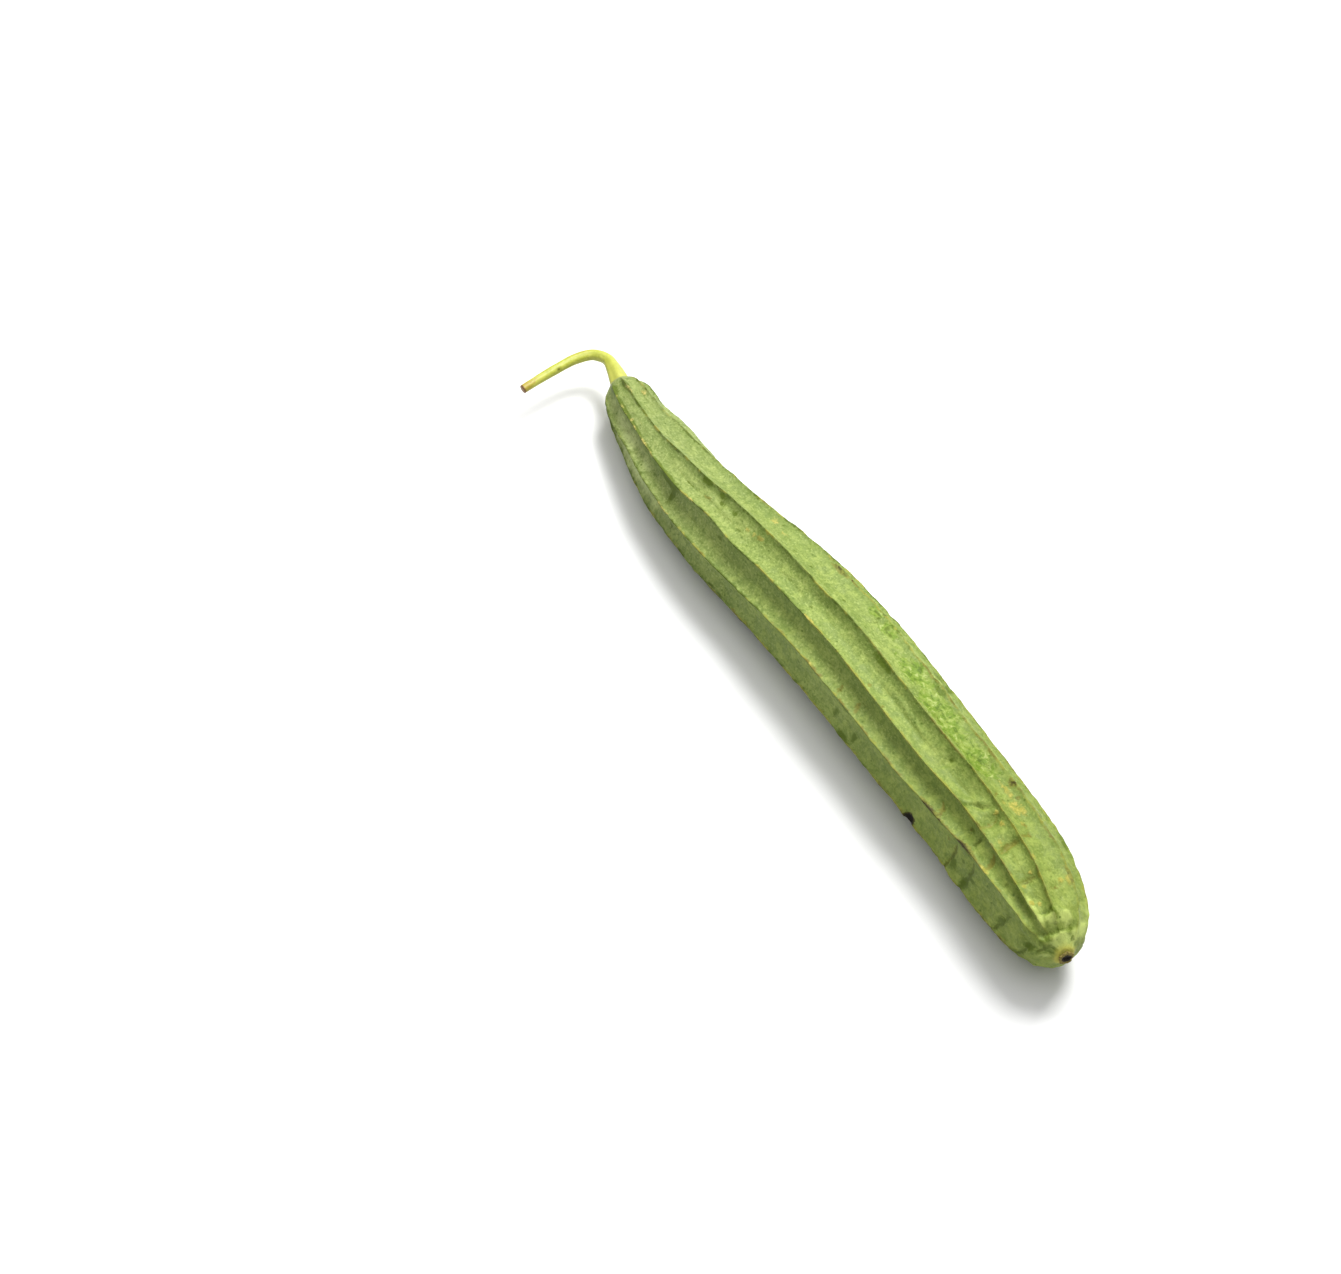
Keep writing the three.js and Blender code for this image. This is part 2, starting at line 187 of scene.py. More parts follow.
# Marks on the skin, by kind: (round, along, half length, half width, strength), the distances in millimetres.
MARKS = {
    "rub": [
        (3.9, 183.5, 3.6, 3, 1.5), (3.82, 193.5, 4.4, 3.4, 1.5), (3.65, 218, 14, 5, 1.15),
        (3.5, 236, 18, 6.5, 1.25), (3.5, 256, 16, 6.5, 1.1),
    ],
    # Paler patches, mostly painted light: they lift the neck's underside, the edges along ridge 2 near the
    # blossom end and the tip, as if more light fell there.
    "pale": [
        (1.42, 32, 30, 4, 0.85), (0.45, 48, 30, 4.5, 0.85), (2.5, 104.5, 2.6, 1.8, 0.7),
        (2.6, 297, 3, 2.2, 0.4), (2.12, 325, 6, 1.2, 0.8), (5, 329, 5, 3, 0.8), (2.12, 331, 3, 1.4, 1),
        (2.7, 332.3, 2, 2.4, 1.2), (3.4, 332.8, 2.2, 3.2, 1.4), (4.5, 335.2, 3, 3.6, 1.1),
        (3.9, 337.4, 1.6, 2.2, 1.2), (0.3, 337.4, 1.4, 1.2, 0.7), (3.15, 338.3, 1.6, 3.6, 1.9),
    ],
    "crust": [
        (3.04, 13.5, 4.5, 1.2, 0.75), (2.04, 14, 1.6, 0.8, 0.7), (3.8, 17, 3.2, 1.2, 0.85),
        (2.06, 21, 1.6, 0.8, 0.8), (2.02, 26.5, 1.6, 0.7, 0.7), (2.12, 31.5, 1.2, 1.2, 0.9),
        (2.02, 36.5, 2.6, 0.8, 0.85), (2.02, 47.5, 3.4, 0.8, 0.9), (1.98, 55, 4, 0.8, 0.85),
        (0.98, 80, 6, 0.9, 0.9), (2, 90, 3, 0.6, 1), (2.67, 118.8, 1.8, 1.1, 0.9),
        (3.75, 121, 3.4, 1.8, 0.8), (2.7, 123, 1.6, 1.1, 1), (2.73, 127, 2, 1.2, 1),
        (3.58, 128.5, 3.2, 1.6, 0.7), (2.02, 172.2, 3.4, 0.6, 1.3), (1.02, 186.5, 2, 0.6, 0.8),
        (3.72, 277, 6, 1.4, 0.95), (3.3, 281, 1.8, 2.4, 0.7), (2.8, 284.3, 1.4, 1.1, 1.1),
        (3.6, 284.5, 5, 3.2, 0.92), (3.75, 286.5, 2.6, 1.6, 1.1), (2.75, 289.5, 1.6, 1.4, 1),
        (3.48, 292, 2, 1.4, 0.9), (2.3, 297, 2.4, 1.4, 0.8), (4.1, 300, 6, 0.8, 0.9),
        (1.03, 302.6, 3.2, 0.8, 1.1), (3.09, 307.9, 1.8, 1, 0.9), (4.2, 311, 5, 1, 0.8),
        (2.72, 312.8, 1, 1.2, 0.9), (2.22, 316.9, 1.2, 0.9, 1.1), (3.67, 318, 1.4, 1.8, 1),
        (3.9, 318.5, 3, 1, 1), (2.15, 323.9, 1.4, 0.9, 1.3), (2.47, 324.6, 1.3, 1.1, 1),
    ],
    "sore": [
        (2.5, 93.8, 2.4, 1.2, 0.9), (2.72, 125.5, 4.5, 1.4, 0.7), (3.95, 158, 6, 1.1, 1.15),
        (4, 167, 4, 0.9, 1), (1.2, 202.5, 1.2, 1.8, 0.9), (2.14, 211, 1.2, 1, 1), (1.28, 212.8, 1, 2, 1),
        (4, 221, 9, 0.6, 1.1), (2.05, 222.5, 0.9, 0.7, 1), (4, 234, 4.5, 0.7, 1.1),
        (3.98, 252, 6, 0.6, 0.9), (1, 266, 8, 1.2, 1.3), (1.28, 269, 1.2, 1.6, 0.9),
        (1.08, 270, 1.8, 1.2, 1), (3.96, 275, 2.2, 1.5, 1.3), (0.72, 279, 1.8, 1.4, 0.8),
        (3.86, 281.4, 1, 0.9, 1.2), (1.62, 283.9, 1, 0.9, 1.1), (2.02, 285.5, 2.2, 0.8, 1.1),
        (1, 290, 8, 1.2, 1.3), (3.5, 293.1, 1.2, 1.8, 0.9), (3.44, 297.9, 1.4, 1.2, 1),
        (3.44, 313.3, 1, 1.6, 0.8), (3.96, 317, 5, 0.6, 1), (3.39, 320.7, 1, 1.4, 0.8),
        (4.3, 324, 3, 0.6, 0.9),
    ],
    "rot": [
        (3.98, 157, 2.2, 0.7, 0.55), (3.99, 165, 1.8, 0.6, 0.55), (0.01, 258.6, 3, 1.9, 1.35),
        (0.98, 264.5, 5.5, 1.1, 0.78), (0.99, 272, 2, 0.8, 0.65), (3.96, 275.5, 1.6, 1.1, 0.6),
        (0.98, 287.5, 6.5, 1, 0.78),
    ],
    "bruise_and_fold_shade": [
        (3.06, 9, 4, 2.2, 0.9), (2.02, 9, 6, 2, 1.4), (2.95, 10, 6, 1.7, 1.3), (3.7, 20, 7, 1, 0.6),
        (2.06, 22, 9, 1.3, 1.6), (3, 26, 12, 0.8, 1), (2.05, 36, 9, 1.1, 1.5), (2.03, 50, 9, 1, 1.3),
        (2.02, 64, 8, 0.9, 1.2), (1.93, 75, 7, 2, 2), (1.62, 78.8, 1.6, 4.6, 2), (2.45, 83, 6, 0.45, 1.1),
        (2.93, 87.5, 4, 1.2, 1.5), (2.9, 98, 3, 1, 1.2), (2.7, 100.5, 1.6, 1.6, 1.1),
        (3.96, 105.8, 1.1, 0.8, 1.1), (2.72, 108.5, 1.8, 1.8, 1.1), (1.78, 112.6, 2.6, 1, 0.9),
        (2.45, 116.3, 1.5, 1, 0.9), (3.84, 125.5, 1.2, 0.9, 1.1), (3.34, 139.8, 1, 0.8, 1.1),
        (2.46, 150.6, 1.4, 0.8, 0.9), (3.36, 150.9, 1.1, 0.9, 1.1), (2.34, 167.4, 1, 1, 1),
        (3.38, 172.5, 1.7, 1, 1), (0.52, 177, 1.4, 0.9, 1), (3.9, 184, 2.4, 0.7, 1.4),
        (3.79, 186.8, 1, 1.3, 1.3), (3.84, 192.5, 1, 1.6, 1.3), (3.75, 195.2, 1.8, 0.7, 1.3),
        (0.35, 205, 1.6, 3, 1.2), (2.9, 206.8, 6, 1.5, 1.2), (0.86, 209.8, 3, 1.3, 1.1),
        (0.05, 213.5, 4, 1.4, 1.1), (0.22, 218.5, 1.5, 2.8, 1.2), (3.9, 228, 4, 1.3, 1.2),
        (3.25, 238, 3, 1.3, 0.8), (2.73, 255.7, 1.1, 0.9, 1.1), (1.22, 259, 2, 1.6, 0.7),
        (0.96, 268, 8, 1, 1.1), (2.05, 273.5, 2.4, 0.9, 1.2), (1.67, 284.9, 1.6, 1.2, 1.3),
        (-0.45, 286.4, 3, 3.4, 1.3), (0.25, 286.6, 2.4, 3, 1.3), (0.97, 290, 6, 0.9, 1.2),
        (0.6, 291, 2.2, 1.2, 1), (-0.5, 294.6, 3.4, 3.4, 1.3), (0.15, 296.6, 2.6, 3, 1.4),
        (0.42, 299.6, 2.4, 1.2, 1.2), (0.36, 319.6, 1.8, 2.8, 1.2), (-0.72, 326, 3.4, 2.2, 1.5),
        (3, 330.3, 2.2, 1.2, 1), (-0.1, 331.4, 2.4, 1.8, 1.5), (0.44, 333.4, 2.2, 1.6, 1.5),
        # The marks from round 3.62 at 335.6 mm to round 0.95 at 336.2 mm are painted shade: a dark band along
        # the fold across the blossom end.
        (3.62, 335.6, 1, 1.3, 1), (2.85, 336, 1, 1.8, 0.8), (2.25, 336, 1.2, 2, 0.9),
        (1.6, 336.2, 1.3, 2.2, 0.9), (0.95, 336.2, 1.3, 1.6, 0.9), (3.77, 337.8, 1, 1, 0.7),
        (0.7, 338.4, 1.4, 0.8, 1.1), (1.2, 338.8, 1.4, 1, 1.1),
    ],
}
RUB_DEPTH = 0.40 * MM
ROT_DEPTH = 0.45 * MM
CRUST_HEIGHT = 0.10 * MM

# What is scattered by chance in each hidden flute: (kind, how many, half length, half width, strength), the
# lengths in millimetres.
HIDDEN_FLUTES = (4, 5, 6, 7, 8, 9)
HIDDEN_MARKS = [
    ("crust", 5, 4, 1.8, 0.85), ("sore", 3, 2.5, 1.5, 0.9),
    ("bruise_and_fold_shade", 5, 4, 2, 1.0), ("rot", 1, 1.8, 1.2, 0.65),
]
HIDDEN_CREASES = 5  # in each hidden flute
HIDDEN_CREASE_START = 258  # in millimetres along the fruit
HIDDEN_CREASE_STEP = (9, 17)  # from one crease to the next, in millimetres
HIDDEN_SEED = 7

# The stalk's marks: (distance from the fruit, degrees round from the top, half length, half width), the
# lengths in millimetres.
STEM_NICKS = [(24, 150, 1.4, 0.9), (43, 60, 1.0, 0.8)]
STEM_SCUFFS = [(30, -40, 6, 1.6), (48, -60, 5, 1.4), (58, 20, 4, 1.6)]
STEM_NICK_DEPTH = 0.25 * MM
STEM_EDGES = 5  # faint ones along the stalk
STEM_EDGE_HEIGHT = 0.02  # of the radius
STEM_FOOT_EDGE_HEIGHT = 0.05  # how much more they stand out at the foot
STEM_LUMP_HEIGHT = 0.035  # of the radius
STEM_LUMP_SIZE = 5 * MM

# The scar from its foot, over its rim and down into its hollow: shares of its height and of its radius.
SCAR_PROFILE = np.array([
    (0.0, 0.88), (0.3, 0.98), (0.6, 1.0), (0.86, 0.94), (0.97, 0.82),
    (0.9, 0.68), (0.6, 0.60), (0.3, 0.50), (0.15, 0.2),
])
SCAR_HOLLOW_LEAN = math.radians(-77)  # how far the long way of the hollow leans from upright
SCAR_HOLLOW_SQUEEZE = 0.55  # how much narrower the hollow is the other way

# ---- Fineness of the meshes ---------------------------------------------------------------------------

SKIN_STATIONS = 380
STATION_CROWDING = 0.6  # how much closer the stations stand in the blossom half
SKIN_COLUMNS_PER_FLUTE = 26
COLUMN_CROWDING = 0.5  # how much closer the columns stand at the crests than in the flutes
STEM_STATIONS = 260
STEM_SIDES = 48
SCAR_RINGS = 40
SCAR_SIDES = 96
CURVE_STEPS = 6000  # for measuring along a curve
SPINE_STEPS = 2000  # for the directions along the centre line

# ---- Camera, lights and floor -------------------------------------------------------------------------

CAMERA_AZIMUTH = math.radians(60.5)
CAMERA_ELEVATION = math.radians(52)
CAMERA_DISTANCE = 0.9
CAMERA_LENS = 57.5
CAMERA_AIM_FROM_FRUIT = np.array([-45.0, -46.8]) * MM  # on the floor, from the middle of the fruit

# (name, direction from the middle of the floor, distance, size, power)
LIGHTS = [("key", (-0.25, 0.5, 1.0), 1.3, 0.6, 26), ("top", (0, -0.1, 1.0), 1.4, 2.4, 23)]
ROOM_GLOW = 0.15
FLOOR_HALF_WIDTH = 3.0
FLOOR_DROP = 0.1 * MM  # so that the floor and the fruit's flats aren't in one plane
FLOOR_GREY = 0.75


# ---- Curves and noise ---------------------------------------------------------------------------------


def smoothstep(value, low, high):
    """0 up to low, 1 from high on, and a smooth rise between them."""
    share = np.clip((value - low) / (high - low), 0, 1)
    return share * share * (3 - 2 * share)


def curve_at(points, at):
    """Places on a centripetal Catmull-Rom curve. at counts control points, from 0 at the first."""
    points = np.asarray(points, float)
    at = np.asarray(at, float)
    padded = np.vstack([2 * points[0] - points[1], points, 2 * points[-1] - points[-2]])
    start = np.clip(np.floor(at).astype(int), 0, len(points) - 2)
    p0, p1, p2, p3 = (padded[start + k] for k in range(4))
    pairs = ((p0, p1), (p1, p2), (p2, p3))
    d0, d1, d2 = (np.sqrt(np.linalg.norm(b - a, axis=-1))[..., None] for a, b in pairs)
    leaving = ((p1 - p0) / d0 - (p2 - p0) / (d0 + d1) + (p2 - p1) / d1) * d1
    arriving = ((p2 - p1) / d1 - (p3 - p1) / (d1 + d2) + (p3 - p2) / d2) * d1
    t = (at - start)[..., None]
    return (
        (2 * t**3 - 3 * t**2 + 1) * p1
        + (t**3 - 2 * t**2 + t) * leaving
        + (3 * t**2 - 2 * t**3) * p2
        + (t**3 - t**2) * arriving
    )


def spaced(points, count, crowding=lambda places: 1):
    """count places on the curve through points, and the distance to each. crowding says how closely they
    stand at each place, and they are evenly spaced without it."""
    fine = curve_at(points, np.linspace(0, len(points) - 1, CURVE_STEPS))
    step = np.linalg.norm(np.diff(fine, axis=0), axis=1)
    distance = np.concatenate([[0], np.cumsum(step)])
    filled = np.concatenate([[0], np.cumsum(step * crowding(fine[1:]))])
    wanted = np.interp(np.linspace(0, filled[-1], count), filled, distance)
    return np.stack([np.interp(wanted, distance, axis) for axis in fine.T], axis=1), wanted


def cross_frames(centres):
    """For each place on a path, the unit vectors forwards, to the side (level) and upwards."""
    forward = np.gradient(centres, axis=0)
    forward /= np.linalg.norm(forward, axis=1)[:, None]
    side = np.cross([0, 0, 1], forward)
    side /= np.linalg.norm(side, axis=1)[:, None]
    return forward, side, np.cross(forward, side)


LATTICE = 32  # the noise repeats after this many cells


def noise(points, cell, seed):
    """Smooth noise from -1 to 1 at points in space, with bumps about a cell across."""
    values = np.random.default_rng(seed).uniform(-1, 1, (LATTICE, LATTICE, LATTICE))
    scaled = np.asarray(points) / cell
    corner = np.floor(scaled).astype(int)
    t = scaled - corner
    t = t * t * (3 - 2 * t)
    total = 0
    for dx in (0, 1):
        for dy in (0, 1):
            for dz in (0, 1):
                weight = np.prod(np.where((dx, dy, dz), t, 1 - t), axis=-1)
                place = (corner + (dx, dy, dz)) % LATTICE
                total = total + weight * values[place[..., 0], place[..., 1], place[..., 2]]
    return total


def fractal(points, cell, octaves, seed):
    """Noise in layers, each half as large and half as strong as the one before."""
    layers = (noise(points, cell / 2**k, seed + k) / 2**k for k in range(octaves))
    return sum(layers) / (2 - 2 ** (1 - octaves))


def wave(along, lane, cell, seed):
    """Noise along a line, different in each lane."""
    along, lane = np.broadcast_arrays(along, lane)
    return noise(np.stack([along, lane * cell * 3.7, 0 * along], axis=-1), cell, seed)


# ---- The skin's shape ---------------------------------------------------------------------------------


def skin_stations():
    """The distance of each station along the fruit and the crest radius there, as two columns."""
    def crowding(places):
        return 1 + STATION_CROWDING * smoothstep(places[:, 0], 0.55 * FRUIT_LENGTH, 0.75 * FRUIT_LENGTH)

    outline, _ = spaced(CREST_RADIUS, SKIN_STATIONS, crowding)
    return outline.T[..., None]


def centre_frames(along):
    """Places on the centre line, with the directions to the side and upwards there."""
    last = len(SPINE) - 1
    fine = np.linspace(0, last, SPINE_STEPS)
    station = np.clip(along / FRUIT_LENGTH, 0, 1) * last
    forward, side, up = (
        np.stack([np.interp(station, fine, axis) for axis in vectors.T], axis=-1)
        for vectors in cross_frames(curve_at(SPINE, fine))
    )
    lean = END_LEAN * smoothstep(along, FRUIT_LENGTH - END_LEAN_LENGTH, FRUIT_LENGTH)[..., None]
    return curve_at(SPINE, station), side, up * np.cos(lean) - forward * np.sin(lean)


def ridge_angles(along):
    """The angle of each ridge at each distance along the fruit, and of the first one again a lap later."""
    angles = []
    for path in RIDGE_PATHS:
        turns = [
            (after - before) * smoothstep(along, start * MM, end * MM)
            for (start, before), (end, after) in zip(path, path[1:])
        ]
        angles.append(sum(turns, path[0][1]))
    angles = np.concatenate([*angles, angles[0] + 360], axis=1)
    lane = np.arange(RIDGES + 1) % RIDGES
    wander = wave(along, lane, 17 * MM, 11) + 0.5 * wave(along, lane, 6 * MM, 12)
    radius = np.interp(along, *CREST_RADIUS.T)
    return np.radians(angles) + RIDGE_WANDER * wander / np.maximum(radius, 8 * MM)


def round_gap(rounds, place):
    """How far each column is from a place round the fruit, in ridges, the short way."""
    return (rounds - place + RIDGES / 2) % RIDGES - RIDGES / 2


def hidden_flaws():
    """Creases, and marks by kind, scattered by chance over the hidden flutes."""
    chance = np.random.default_rng(HIDDEN_SEED)
    creases = []
    marks = {kind: [] for kind in MARKS}
    for flute in HIDDEN_FLUTES:
        for along in np.cumsum(chance.uniform(*HIDDEN_CREASE_STEP, HIDDEN_CREASES)) + HIDDEN_CREASE_START:
            start, end = chance.uniform((0.05, 0.6), (0.35, 0.95)) + flute
            lean, bow = chance.uniform(-2, 2, 2)
            # The third number, green, is how strongly painted shade darkens the crease's groove.
            depth, brown, green = chance.uniform((0.3, 0, 0), (0.7, 1, 1))
            creases.append((start, along, end, along + lean, bow, 1.0, depth, brown, green))
        for kind, count, length, width, strength in HIDDEN_MARKS:
            for _ in range(count):
                across, along = chance.uniform((0, 10), (1, 330))
                size = chance.uniform(0.6, 1.4, 2)
                marks[kind].append((flute + across, along, length * size[0], width * size[1], strength))
    return creases, marks


class Skin:
    """The skin as a grid, stations along the fruit by columns round it. reach is how far each place stands
    from the centre line, and facts are what the material needs to know there."""

    def __init__(self):
        self.along, self.radius = skin_stations()
        step = np.arange(SKIN_COLUMNS_PER_FLUTE) / SKIN_COLUMNS_PER_FLUTE
        self.share = np.tile(step - COLUMN_CROWDING * np.sin(2 * math.pi * step) / (2 * math.pi), RIDGES)
        self.flute = np.repeat(np.arange(RIDGES), SKIN_COLUMNS_PER_FLUTE)
        self.rounds = self.flute + self.share

        ridges = ridge_angles(self.along)
        angle = self.across_flutes(ridges)
        self.centre, side, up = centre_frames(self.along)
        self.outwards = np.sin(angle)[..., None] * side + np.cos(angle)[..., None] * up
        self.rough = self.centre + self.radius[..., None] * self.outwards  # close enough for the noises
        self.arc = np.diff(ridges, axis=1)[:, self.flute] * self.radius  # the width of each column's flute
        self.crest_gap = np.minimum(self.share, 1 - self.share) * self.arc
        from_nub = FRUIT_LENGTH - self.along
        self.fluted = smoothstep(self.along, 0, NECK_FADE) * smoothstep(from_nub, 0, NUB_FADE)
        self.facts = {
            "crest_side": np.where(self.share < 0.5, 1, -1) * self.crest_gap / MM,
            "along": np.broadcast_to(self.along / MM, angle.shape),
        }

    def across_flutes(self, values):
        """Per-ridge values carried across the flutes to each column."""
        return values[:, self.flute] * (1 - self.share) + values[:, self.flute + 1] * self.share

    def blob(self, place, middle, length, width):
        """A soft spot, 1 in its middle. The last three are in millimetres."""
        x = (self.along - middle * MM) / (length * MM)
        y = round_gap(self.rounds, place) * self.arc / (width * MM)
        return np.exp(-(x**2 + y**2))

    def note(self, fact, values):
        """Each place keeps the strongest value of a fact."""
        self.facts[fact] = np.maximum(self.facts.get(fact, 0), values)

    def grow_ridges(self):
        """Crests that rise and dip, hollows between them of changing depth, and a thin rib on each crest."""
        lane = np.arange(RIDGES + 1) % RIDGES
        rise = wave(self.along, lane, 12 * MM, 21) + 0.6 * wave(self.along, lane, 4 * MM, 22)
        crest = self.radius + CREST_RISE * rise * smoothstep(self.radius, 5 * MM, 14 * MM)
        depth = 1 + DEPTH_CHANGE * wave(self.along, self.flute, 40 * MM, 31)
        for ridge, middle, length, more in FLUTE_SWELLS:
            near = np.exp(-(((self.along - middle * MM) / (length * MM)) ** 2))
            depth = depth + more * near * (self.flute == ridge)
        hollow = FLUTE_DEPTH * depth * self.fluted * (1 - np.abs(2 * self.share - 1) ** FLUTE_ROUNDNESS)
        self.reach = self.across_flutes(crest) * (1 - hollow)
        uneven = 1 + 0.6 * wave(self.along, np.round(self.rounds) % RIDGES, 4 * MM, 41)
        rib = np.exp(-((self.crest_gap / RIB_WIDTH) ** 2))
        self.reach = self.reach + RIB_HEIGHT * uneven * self.fluted * rib

    def grow_lumps(self):
        """Uneven growth, which is stronger in the flutes and towards the blossom end."""
        flutes = self.fluted * (1 - np.exp(-((self.crest_gap / (2.5 * MM)) ** 2)))
        blossom_end = smoothstep(self.along, 230 * MM, 320 * MM)
        tip = smoothstep(self.along, 321 * MM, 332 * MM) * smoothstep(self.radius, 3 * MM, 9 * MM)
        places = {
            "everywhere": self.fluted,
            "flutes": flutes,
            "blossom end": self.fluted * blossom_end,
            "flutes of the blossom end": flutes * blossom_end,
            "tip": tip,
        }
        for height, size, octaves, closeness, seed, where in LUMPS:
            lumps = fractal(self.rough * closeness, size * MM, octaves, seed)
            self.reach = self.reach + height * MM * places[where] * lumps

    def dent(self, dents):
        """Soft dents and bumps."""
        for place, middle, length, width, deep in dents:
            self.reach = self.reach - deep * MM * self.blob(place, middle, length, width)

    def crease(self, creases):
        """A groove with a lip on each side, along a line that strays a little."""
        astray = sum(far * MM * noise(self.rough, length * MM, seed) for far, length, seed in CREASE_WANDER)
        firm = smoothstep(self.radius, 3 * MM, 9 * MM)
        for start, start_along, end, end_along, bow, width, deep, brown, green in creases:
            t = round_gap(self.rounds, start) / (end - start)
            middle = (start_along + t * (end_along - start_along) + 4 * bow * t * (1 - t)) * MM + astray
            off = (self.along - middle) / (width * MM)
            inside = np.clip(4 * t * (1 - t), 0, 1) ** 0.4
            groove = np.exp(-(off**2))
            lips = 0.9 * np.exp(-(((off + 3.6) / 2.8) ** 2)) + 0.5 * np.exp(-(((off - 3.0) / 2.2) ** 2))
            self.reach = self.reach + deep * MM * firm * inside * (lips - groove)
            # Along the groove: brown, which the skin has, and a dark green that is painted shade.
            stain_and_shade = inside * np.exp(-((off / 1.15) ** 2))
            self.note("crease_brown", brown * stain_and_shade)
            self.note("crease_shade", green * stain_and_shade)

    def mark(self, marks):
        """How strong each kind of mark is at each place."""
        for kind, spots in marks.items():
            for *place, strength in spots:
                self.note(kind, strength * self.blob(*place))

    def roughen_marks(self):
        """Rubbed places lose flakes, rot sinks in and crusts stand out."""
        flakes = fractal(self.rough, 4.2 * MM, 3, 71)
        rub, rot, crust = (self.facts[kind] for kind in ("rub", "rot", "crust"))
        self.reach = self.reach - RUB_DEPTH * smoothstep(rub + 0.6 * flakes, 0.55, 0.8) * (0.5 + flakes)
        self.reach = self.reach - ROT_DEPTH * smoothstep(rot + 0.3 * flakes, 0.5, 1.05)
        self.reach = self.reach + CRUST_HEIGHT * smoothstep(crust + 0.4 * flakes, 0.3, 0.9)

    def places(self):
        return self.centre + self.reach[..., None] * self.outwards


def grown_skin():
    """The skin's grid of places, and its facts."""
    creases, marks = hidden_flaws()
    skin = Skin()
    skin.grow_ridges()
    skin.grow_lumps()
    skin.dent(DENTS)
    skin.crease(CREASES + creases)
    skin.mark({kind: MARKS[kind] + marks[kind] for kind in MARKS})
    skin.roughen_marks()
    return skin.places(), skin.facts


# ---- Meshes -------------------------------------------------------------------------------------------


def add_unwrapping(mesh, ring, side, rings, sides):
    """The grid laid out flat, for painting: along it one way and round it the other."""
    corners = [(ring, side), (ring + 1, side), (ring + 1, side + 1), (ring, side + 1)]
    quads = np.stack([np.stack(corner, axis=-1) for corner in corners], axis=2)

    def fan(at, beyond, one, other):
        corners = [(at, one), (at, other), (beyond, np.arange(sides) + 0.5)]
        return np.stack([np.stack(np.broadcast_arrays(*corner), axis=1) for corner in corners], axis=1)

    edge = np.arange(sides)
    fans = [fan(0, -1, edge, edge + 1), fan(rings - 1, rings, edge + 1, edge)]
    flat = np.vstack([faces.reshape(-1, 2) for faces in (quads, *fans)])
    layer = mesh.uv_layers.new(name="OFBake")
    layer.data.foreach_set("uv", ((flat + (1, 0)) / (rings + 1, sides)).astype(np.float32).ravel())


def add_object(name, data):
    thing = bpy.data.objects.new(name, data)
    bpy.context.collection.objects.link(thing)
    return thing


def closed_grid(name, places, facts):
    """A closed mesh over a grid of rings, with a fan at each end, and facts as point attributes."""
    rings, sides = places.shape[:2]
    vertices = np.vstack([places.reshape(-1, 3), places[[0, -1]].mean(axis=1)])
    ring, side = np.meshgrid(np.arange(rings - 1), np.arange(sides), indexing="ij")
    after = (side + 1) % sides
    here, there = ring * sides, (ring + 1) * sides
    quads = np.stack([here + side, there + side, there + after, here + after], axis=-1).reshape(-1, 4)
    edge = np.arange(sides)
    next_edge = (edge + 1) % sides
    last = (rings - 1) * sides
    first_fan = np.stack([edge, next_edge, np.full(sides, rings * sides)], axis=1)
    last_fan = np.stack([last + next_edge, last + edge, np.full(sides, rings * sides + 1)], axis=1)
    mesh = bpy.data.meshes.new(name)
    mesh.from_pydata(vertices.tolist(), [], quads.tolist() + first_fan.tolist() + last_fan.tolist())
    for fact, values in facts.items():
        full = np.concatenate([values.ravel(), values[[0, -1]].mean(axis=1)])
        mesh.attributes.new(fact, "FLOAT", "POINT").data.foreach_set("value", full.astype(np.float32))
    add_unwrapping(mesh, ring, side, rings, sides)
    mesh.polygons.foreach_set("use_smooth", np.ones(len(mesh.polygons), bool))
    mesh.update()
    return add_object(name, mesh)


# ---- Pieces -------------------------------------------------------------------------------------------


def make_skin():
    """The skin, moved over the fruit's solid, and how far it was moved."""
    places, facts = grown_skin()
    low, high = (np.array(corner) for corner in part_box("fruit"))
    shift = (low + high) / 2 - (places.reshape(-1, 3).min(axis=0) + places.reshape(-1, 3).max(axis=0)) / 2
    shift[2] = 0
    places = places + shift
    places[..., 2] = np.maximum(places[..., 2], 0)  # pressed flat where the fruit rests
    return closed_grid("ridged_skin", places, facts), shift


def spine_end(at, inner):
    """The end of the fruit's centre line, and the direction straight out of it."""
    end, near = curve_at(SPINE, np.array([at, inner]))
    return end, (end - near) / np.linalg.norm(end - near)


def make_stem(shift):
    end, outwards = spine_end(0, 0.01)
    route, distance = spaced(STEM_ROUTE + end + outwards * GAP + shift, STEM_STATIONS)
    distance = distance[:, None]
    length = distance[-1]
    share = distance / length
    flare = 1 - smoothstep(distance, 0, STEM_FLARE_LENGTH)
    radius = STEM_RADIUS + (STEM_CUT_RADIUS - STEM_RADIUS) * share + flare * (STEM_FLARE - STEM_RADIUS)
    turn = np.linspace(0, 2 * math.pi, STEM_SIDES, endpoint=False)
    edges = np.cos(STEM_EDGES * (turn + 0.5 * share))  # they twist a little
    lump_place = np.broadcast_arrays(distance, STEM_RADIUS * np.sin(turn), STEM_RADIUS * np.cos(turn))
    lumps = noise(np.stack(lump_place, axis=-1), STEM_LUMP_SIZE, 81)
    edge_height = STEM_EDGE_HEIGHT + STEM_FOOT_EDGE_HEIGHT * flare
    radii = radius * (1 + edge_height * edges) * (1 + STEM_LUMP_HEIGHT * lumps)

    def spot(along, degrees, length, width):
        across = (turn - math.radians(degrees) + math.pi) % (2 * math.pi) - math.pi
        x = (distance - along * MM) / (length * MM)
        return np.exp(-(x**2) - (across * radius / (width * MM)) ** 2)

    facts = {
        "to_cut": np.broadcast_to((length - distance) / MM, radii.shape),
        "edge": edges,
        "nick": np.maximum.reduce([spot(*place) for place in STEM_NICKS]),
        "scuff": np.maximum.reduce([spot(*place) for place in STEM_SCUFFS]),
    }
    radii = radii - STEM_NICK_DEPTH * facts["nick"]
    _, side, up = cross_frames(route)
    outline = np.sin(turn)[:, None] * side[:, None, :] + np.cos(turn)[:, None] * up[:, None, :]
    return closed_grid("stem_stalk", route[:, None, :] + radii[..., None] * outline, facts)


